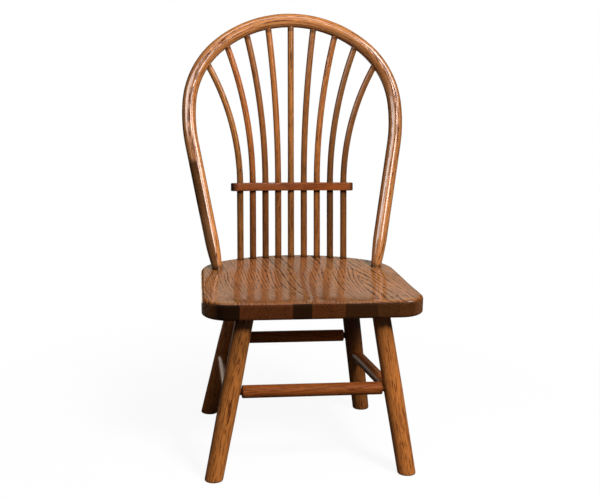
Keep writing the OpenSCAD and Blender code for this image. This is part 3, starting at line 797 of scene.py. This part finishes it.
rail = {
    "depth": 22.0, "overhang": 16.5, "arris": 1.6, "insideDepth": 0.05, "insideThick": 0.02,
    # endShade darkens the rounded ends as painted shade
    "stain": (0.14, 0.10), "paler": 0.10, "endShade": 0.7,
    "cut": {"spin": 1.1, "pith": (30, 44), "tilt": (0.03, 0.01), "start": 33.0},
}


# The rail's arc: through the middle spindle and the outermost pair, in the plane square to the middle one
def railFrame():
    lean, outer = spindleTip(0)[2], spindleTip(4)[2]
    x, outerY = spindleFoot(4)
    h = chair["railHeight"]
    y = spindleFoot(0)[1] + h * math.tan(lean)
    front = y - outerY
    outerH = h * math.cos(lean) + front * math.sin(lean)
    outerH /= math.tan(outer) * math.sin(lean) + math.cos(lean)
    sag = (front - outerH * math.tan(outer)) * math.cos(lean) + (outerH - h) * math.sin(lean)
    return lean, y, (x * x + sag * sag) / (2 * sag), x


# Flat bar with half-round ends bent along the arc: stadium rings drawn in from the edge, each at its
# height, from the middle line of the top over the rounded arrises to the middle line of the bottom
def makeRail():
    lean, railY, r, outerX = railFrame()
    half = rail["depth"] / 2 - rail["insideDepth"]
    thick = chair["railThick"] / 2 - rail["insideThick"]
    straight = r * math.asin((outerX + rail["overhang"] - rail["depth"] / 2) / r)
    a = np.linspace(np.pi / 2, 0, 7)
    inset = np.concatenate([half * np.array([1, 0.66, 0.33]), rail["arris"] * (1 - np.cos(a))])
    height = np.concatenate([np.full(3, thick), thick - rail["arris"] * (1 - np.sin(a))])
    width = half - np.concatenate([inset, inset[::-1]])[:, None]
    height = np.concatenate([height, -height[::-1]])[:, None]
    line = np.linspace(-straight, straight, 90)
    turn = np.linspace(0, np.pi, 22)[1:-1]
    along = np.concatenate([line + 0 * width, straight + width * np.sin(turn),
                            line[::-1] + 0 * width, -straight - width * np.sin(turn)], 1)
    across = np.concatenate([0 * line - width, -width * np.cos(turn),
                             0 * line + width, width * np.cos(turn)], 1)
    z = height + 0 * along
    x = (r + across) * np.sin(along / r)
    y = (r + across) * np.cos(along / r) - r
    middleZ = chair["seatTop"] + chair["railHeight"]
    verts = np.stack([x, railY + y * math.cos(lean) + z * math.sin(lean),
                      middleZ - y * math.sin(lean) + z * math.cos(lean)], -1).reshape(-1, 3)
    along, across, z = along.ravel(), across.ravel(), z.ravel()
    endShare = ramp(np.abs(along), straight, straight + half) ** 2
    # painted shade on the rounded ends of the rail
    dark = rail["stain"][0] - rail["paler"] * along / straight + rail["endShade"] * endShare
    stain = np.stack([dark, np.full(len(verts), rail["stain"][1]), 0 * dark], -1)
    woodPiece("sheafRail", verts, gridFaces(len(width), len(verts) // len(width)),
              cutFrom(rail["cut"], across, z, along), stain, "rail", "sheaf_rail", welded=True)


makeRail()
print("rail made")

# Legs and stretchers

legs = {
    # where a leg's axis meets the floor and the seat's underside: across from the middle, and back
    "frontFoot": (159.0, 22.0), "frontTop": (109.0, 38.0),
    "rearFoot": (142.0, 338.0), "rearTop": (93.0, 253.0),
    "footR": 14.9, "swellR": 15.5, "topR": 14.5, "swellAt": 150.0,
    "tenonR": 12.3, "tenon": 17.0, "short": 1.5,
    "bevel": 1.6, "bevelHeights": (0.0, 0.35, 0.9, 1.7, 2.6), "ripple": 0.004, "rippleLength": 35.0,
    "inside": 0.05, "around": 56,
    # how dark the stain pools at the seat and how much darker the foot is at the floor, and over what height;
    # how much it wanders
    "pool": (0.8, 5.0), "footDarker": (0.5, 2.2), "wander": 0.07, "wanderLength": 70.0,
    # each leg: dark and red stain, the painted shadow of the seat on its top and how far down it reaches, and
    # its cut
    "frontLeft": {"side": -1, "row": "front", "node": "front_left_leg", "stain": (0.02, 0.0),
                  "under": (0.42, 105.0),
                  "cut": {"spin": 0.4, "pith": (26, 20), "tilt": (0.030, 0.015), "start": 40}},
    "frontRight": {"side": 1, "row": "front", "node": "front_right_leg", "stain": (-0.05, 0.1),
                   "under": (0.50, 60.0),
                   "cut": {"spin": 2.0, "pith": (30, 16), "tilt": (-0.025, 0.02), "start": 42}},
    "rearLeft": {"side": -1, "row": "rear", "node": "rear_left_leg", "stain": (0.20, 0.3),
                 "under": (0.0, 45.0),
                 "cut": {"spin": 3.1, "pith": (34, 22), "tilt": (0.02, -0.02), "start": 44}},
    "rearRight": {"side": 1, "row": "rear", "node": "rear_right_leg", "stain": (0.26, 0.1),
                  "under": (0.78, 150.0),
                  "cut": {"spin": 4.4, "pith": (28, 30), "tilt": (0.02, 0.02), "start": 46}},
}


# Point of a leg's axis at a height above the floor
def legPoint(side, row, height):
    foot = np.array([side * legs[row + "Foot"][0], legs[row + "Foot"][1], 0.0])
    top = np.array([side * legs[row + "Top"][0], legs[row + "Top"][1], chair["seatUnder"]])
    return foot + (top - foot) * height / chair["seatUnder"]


# Leaning round leg cut level at the floor: each level slice of a leaning cylinder is an ellipse, longer
# in the way that it leans; the radius swells to the middle and tapers into the tenon
def makeLeg(label):
    leg = legs[label]
    seed = leg["cut"]["start"]
    h = chair["seatUnder"]
    foot = legPoint(leg["side"], leg["row"], 0)
    run = legPoint(leg["side"], leg["row"], h) - foot
    tilt = math.acos(run[2] / np.linalg.norm(run))
    way = unit([run[0], run[1], 0])
    across = np.array([-way[1], way[0], 0])
    rise = legs["tenon"] * math.cos(tilt) - legs["short"]
    z = np.concatenate([legs["bevelHeights"], np.linspace(4, h, 110), np.linspace(h, h + rise, 10)[1:]])
    r = np.interp(z, [0, legs["swellAt"], h, h + rise],
                  [legs["footR"], legs["swellR"], legs["topR"], legs["tenonR"]])
    r -= legs["bevel"] * (1 - np.sqrt(1 - ramp(z, legs["bevelHeights"][-1], 0) ** 2))
    r = r * (1 + legs["ripple"] * softWave(z / legs["rippleLength"], seed)) - legs["inside"]
    theta = np.linspace(0, 2 * np.pi, legs["around"], endpoint=False)
    a = r[:, None] * np.cos(theta)
    b = r[:, None] * np.sin(theta)
    centre = foot + run * (z / h)[:, None]
    verts = centre[:, None] + a[..., None] * across + (b / math.cos(tilt))[..., None] * way
    verts = np.concatenate([verts.reshape(-1, 3), centre[:1], centre[-1:]])
    height = tubeValues(np.repeat(z, legs["around"]), z[[0, -1]])
    dark = leg["stain"][0] + legs["wander"] * softWave(height / legs["wanderLength"], seed + 5)
    dark += legs["footDarker"][0] * fade(height, legs["footDarker"][1])
    # painted shadow of the seat, darkest at the top of the leg
    dark += leg["under"][0] * fade(h - height, leg["under"][1])
    pool = legs["pool"][0] * fade(h - height, legs["pool"][1])
    grain = cutFrom(leg["cut"], tubeValues(a), tubeValues(b), height / math.cos(tilt))
    woodPiece(label + "Leg", verts, tubeFaces(len(z), legs["around"]), grain,
              np.stack([dark, np.full(len(dark), leg["stain"][1]), pool], -1), "leg", leg["node"])


stretchers = {
    "radius": 10.5, "neckRadius": 5.5, "bevel": 2.0, "neck": 2.5, "into": 11.0, "legRadius": 15.5,
    "fillet": 0.4, "short": 0.2, "inside": 0.03, "ripple": 0.004, "rippleLength": 30.0,
    # the shoulder's face, where the chamfer starts on it, how squashed it is, and where the body starts
    "face": 0.02, "chamfer": 0.1, "squash": 0.9, "body": 3.0, "poolInside": 1.0,
    "pith": ((16, 30), (10, 24)), "tilt": 0.04, "jointReach": 2.6,
    # each stretcher: side, row and height of the two legs' points, stain, and the stain added along it,
    # painted shade on the rear one
    "front": {"node": "front_stretcher", "from": (-1, "front", 146.0), "to": (1, "front", 146.0),
              "stain": (0.20, 0.25), "fade": 0.0, "start": 50},
    # the rear one's dark stain, lightening towards the right, is the seat's painted shadow
    "rear": {"node": "rear_stretcher", "from": (-1, "rear", 157.0), "to": (1, "rear", 157.0),
             "stain": (0.34, 0.2), "fade": -0.9, "start": 52},
    # the left one's pale stain is a painted sheen
    "left": {"node": "left_side_stretcher", "from": (-1, "front", 137.0), "to": (-1, "rear", 118.0),
             "stain": (-0.30, -0.2), "fade": 0.0, "start": 54},
    "right": {"node": "right_side_stretcher", "from": (1, "front", 137.0), "to": (1, "rear", 118.0),
              "stain": (0.0, 0.1), "fade": 0.0, "start": 56},
}


# Turned stretcher between two leg axes: tenon, neck, chamfered shoulder, body, and the same again
def makeStretcher(label):
    item = stretchers[label]
    start, stop = legPoint(*item["from"]), legPoint(*item["to"])
    length = np.linalg.norm(stop - start)
    peg = stretchers["legRadius"] - stretchers["into"] + stretchers["short"]
    shoulder = stretchers["legRadius"] + stretchers["neck"]
    r = stretchers["radius"] - stretchers["inside"]
    neck, bevel, fillet = stretchers["neckRadius"], stretchers["bevel"], stretchers["fillet"]
    a = np.linspace(0, np.pi / 2, 6)[1:]
    chamfer = shoulder + stretchers["squash"] * bevel * (1 - np.cos(a)) + stretchers["chamfer"]
    body = np.linspace(shoulder + bevel + stretchers["body"], length / 2, 40)
    place = np.concatenate([[peg, shoulder - fillet, shoulder, shoulder + stretchers["face"]], chamfer, body])
    radii = np.concatenate([[neck, neck, neck + fillet, r - bevel], r - bevel + bevel * np.sin(a),
                            np.full(len(body), r)])
    place = np.concatenate([place, length - place[::-1][1:]])
    radii = np.concatenate([radii, radii[::-1][1:]])
    ripple = stretchers["ripple"] * softWave(place / stretchers["rippleLength"], item["start"])
    radii = np.minimum(radii * (1 + ripple * (radii > r - 0.1)), stretchers["radius"])
    cut = randomCut(item["start"], *stretchers["pith"], stretchers["tilt"], item["start"])

    # stain added along the stretcher; on the rear one it is painted shade
    def shade(distance, theta, total):
        return item["fade"] * distance / total

    pool = shoulder - stretchers["poolInside"]
    rodPiece(label + "Stretcher", start + place[:, None] * unit(stop - start), (0, 0, 1), radii, cut,
             item["stain"], (pool - peg, length - pool - peg), "stretcher", item["node"],
             reach=stretchers["jointReach"], shade=shade)


for label in ("frontLeft", "frontRight", "rearLeft", "rearRight"):
    makeLeg(label)
for label in ("front", "rear", "left", "right"):
    makeStretcher(label)
print("legs and stretchers made")

# Floor, light and camera, in metres

room = {
    "floor": 6.0, "floorGrey": (0.10, 0.097, 0.094), "shadowWhite": (0.9, 0.9, 0.9), "cameraWhite": 0.93,
    "shadowReach": (0.25, 0.9), "worldLight": 0.07, "worldGloss": 0.012, "floorDrop": 0.0005,
}
lamps = {
    "keyRight": {"place": (0.76, -1.78, 2.04), "aim": (0, 0, 0.30), "size": (0.6, 0.6), "power": 88,
                 "inGloss": False},
    "fillLeft": {"place": (-1.9, -0.9, 1.6), "aim": (0, 0, 0.5), "size": (0.5, 0.9), "power": 3},
    "backWhite": {"place": (0.32, 2.2, 1.15), "aim": (0, 0, 0.35), "size": (1.1, 1.1), "power": 2.0,
                  "colour": (1.0, 0.86, 0.70)},
    "top": {"place": (-0.1, -0.25, 2.2), "aim": (0, 0, 0.3), "size": (1.5, 0.3), "power": 8},
    # cards that only the lacquer sees: a long one at the left, rising towards the front, a tall one in
    # front, one high up at the right and a low one behind
    "cardLeft": {"place": (-1.14, -0.81, 1.58), "aim": (-0.1, 0.25, 0.6), "size": (1.8, 1.0), "power": 25,
                 "roll": 20, "inMatt": False},
    "cardFront": {"place": (0.84, -1.78, 1.60), "aim": (0, 0.2, 0.55), "size": (0.55, 1.05), "power": 20,
                  "inMatt": False},
    "cardTop": {"place": (1.35, -0.55, 1.75), "aim": (0.1, 0.1, 0.6), "size": (0.9, 1.0), "power": 25,
                "inMatt": False},
    "cardLow": {"place": (-0.48, 0.90, 0.12), "aim": (-0.48, 0, 0.12), "size": (0.76, 0.26), "power": 0.9,
                "colour": (1.0, 0.86, 0.70), "inMatt": False},
}


def mixShaders(tree, share, first, second):
    return addNode(tree, "ShaderNodeMixShader", {0: share, 1: first.outputs[0], 2: second.outputs[0]})


# White with a soft shadow to the camera, and a plain grey surface that lights the chair from below
def floorMaterial():
    material = bpy.data.materials.new("paleFloor")
    tree = emptyTree(material)
    plain = addNode(tree, "ShaderNodeBsdfDiffuse", {"Color": (*room["floorGrey"], 1)})
    shadow = addNode(tree, "ShaderNodeBsdfDiffuse", {"Color": (*room["shadowWhite"], 1)})
    white = addNode(tree, "ShaderNodeEmission", {"Color": (1, 1, 1, 1), "Strength": 1.0})
    place = addNode(tree, "ShaderNodeTexCoord", {})
    away = addNode(tree, "ShaderNodeVectorMath", {0: place.outputs["Object"]}, operation="LENGTH")
    share = stepNode(tree, away.outputs["Value"], *room["shadowReach"], room["cameraWhite"], 1.0)
    rays = addNode(tree, "ShaderNodeLightPath", {})
    shader = mixShaders(tree, rays.outputs["Is Camera Ray"], plain, mixShaders(tree, share, shadow, white))
    addNode(tree, "ShaderNodeOutputMaterial", {"Surface": shader.outputs[0]})
    return material


# White to the camera, and a dim light on the chair, dimmer still where the lacquer mirrors it
def studioWorld():
    world = bpy.data.worlds.new("studio")
    tree = emptyTree(world)
    light, gloss, white = [
        addNode(tree, "ShaderNodeBackground", {"Color": (1, 1, 1, 1), "Strength": strength})
        for strength in (room["worldLight"], room["worldGloss"], 1.0)]
    rays = addNode(tree, "ShaderNodeLightPath", {}).outputs
    dim = mixShaders(tree, rays["Is Glossy Ray"], light, gloss)
    shader = mixShaders(tree, rays["Is Camera Ray"], dim, white)
    addNode(tree, "ShaderNodeOutputWorld", {"Surface": shader.outputs[0]})
    return world


# Soft box that faces a point on the chair, for matt surfaces, for glossy ones or for both
def softBox(name, place, aim, size, power, roll=0, colour=(1, 1, 1), inGloss=True, inMatt=True):
    light = bpy.data.lights.new(name, "AREA")
    light.shape = "RECTANGLE"
    light.size, light.size_y = size
    light.energy = power
    light.color = colour
    lamp = bpy.data.objects.new(name, light)
    lamp.location = place
    turn = (Vector(aim) - Vector(place)).to_track_quat("-Z", "Y").to_matrix()
    lamp.rotation_euler = (turn @ Matrix.Rotation(math.radians(roll), 3, "Z")).to_euler()
    lamp.visible_camera = False
    lamp.visible_glossy = inGloss
    lamp.visible_diffuse = inMatt
    bpy.context.scene.collection.objects.link(lamp)


floorMesh = bpy.data.meshes.new("floor")
reach = room["floor"]
floorMesh.from_pydata([(-reach, -reach, 0), (reach, -reach, 0), (reach, reach, 0), (-reach, reach, 0)], [],
                      [(0, 1, 2, 3)])
floorMesh.materials.append(floorMaterial())
floor = bpy.data.objects.new("floor", floorMesh)
floor.location = (0, 0, -room["floorDrop"])
bpy.context.scene.collection.objects.link(floor)
bpy.context.scene.world = studioWorld()
for name, lamp in lamps.items():
    softBox(name, **lamp)

# Camera fitted to the photograph: its place and aim in millimetres, its roll, and its lens and picture
# centre in pixels
view = {"place": (-319.38, -2141.55, 846.67), "aim": (0.0, 0.0, 330.0), "roll": 1.2232, "focal": 1312.88,
        "centre": (300.6, 255.53), "width": 600.0, "height": 500.0, "sensor": 36}
camera = bpy.data.objects.new("camera", bpy.data.cameras.new("camera"))
bpy.context.scene.collection.objects.link(camera)
bpy.context.scene.camera = camera
forward = unit(np.subtract(view["aim"], view["place"]))
level = unit(np.cross(forward, (0, 0, 1)))
upright = np.cross(level, forward)
cosine, sine = math.cos(math.radians(view["roll"])), math.sin(math.radians(view["roll"]))
rightWay, upWay = level * cosine + upright * sine, upright * cosine - level * sine
camera.matrix_world = Matrix([
    [rightWay[k], upWay[k], -forward[k], view["place"][k] * mm] for k in range(3)] + [[0, 0, 0, 1]])
camera.data.sensor_width = view["sensor"]
camera.data.lens = view["focal"] / view["width"] * view["sensor"]
camera.data.shift_x = (view["width"] / 2 - view["centre"][0]) / view["width"]
camera.data.shift_y = (view["centre"][1] - view["height"] / 2) / view["width"]
camera.data.clip_start, camera.data.clip_end = 0.05, 40
bpy.context.scene.view_settings.view_transform = "Standard"
print("room, lamps and camera ready")
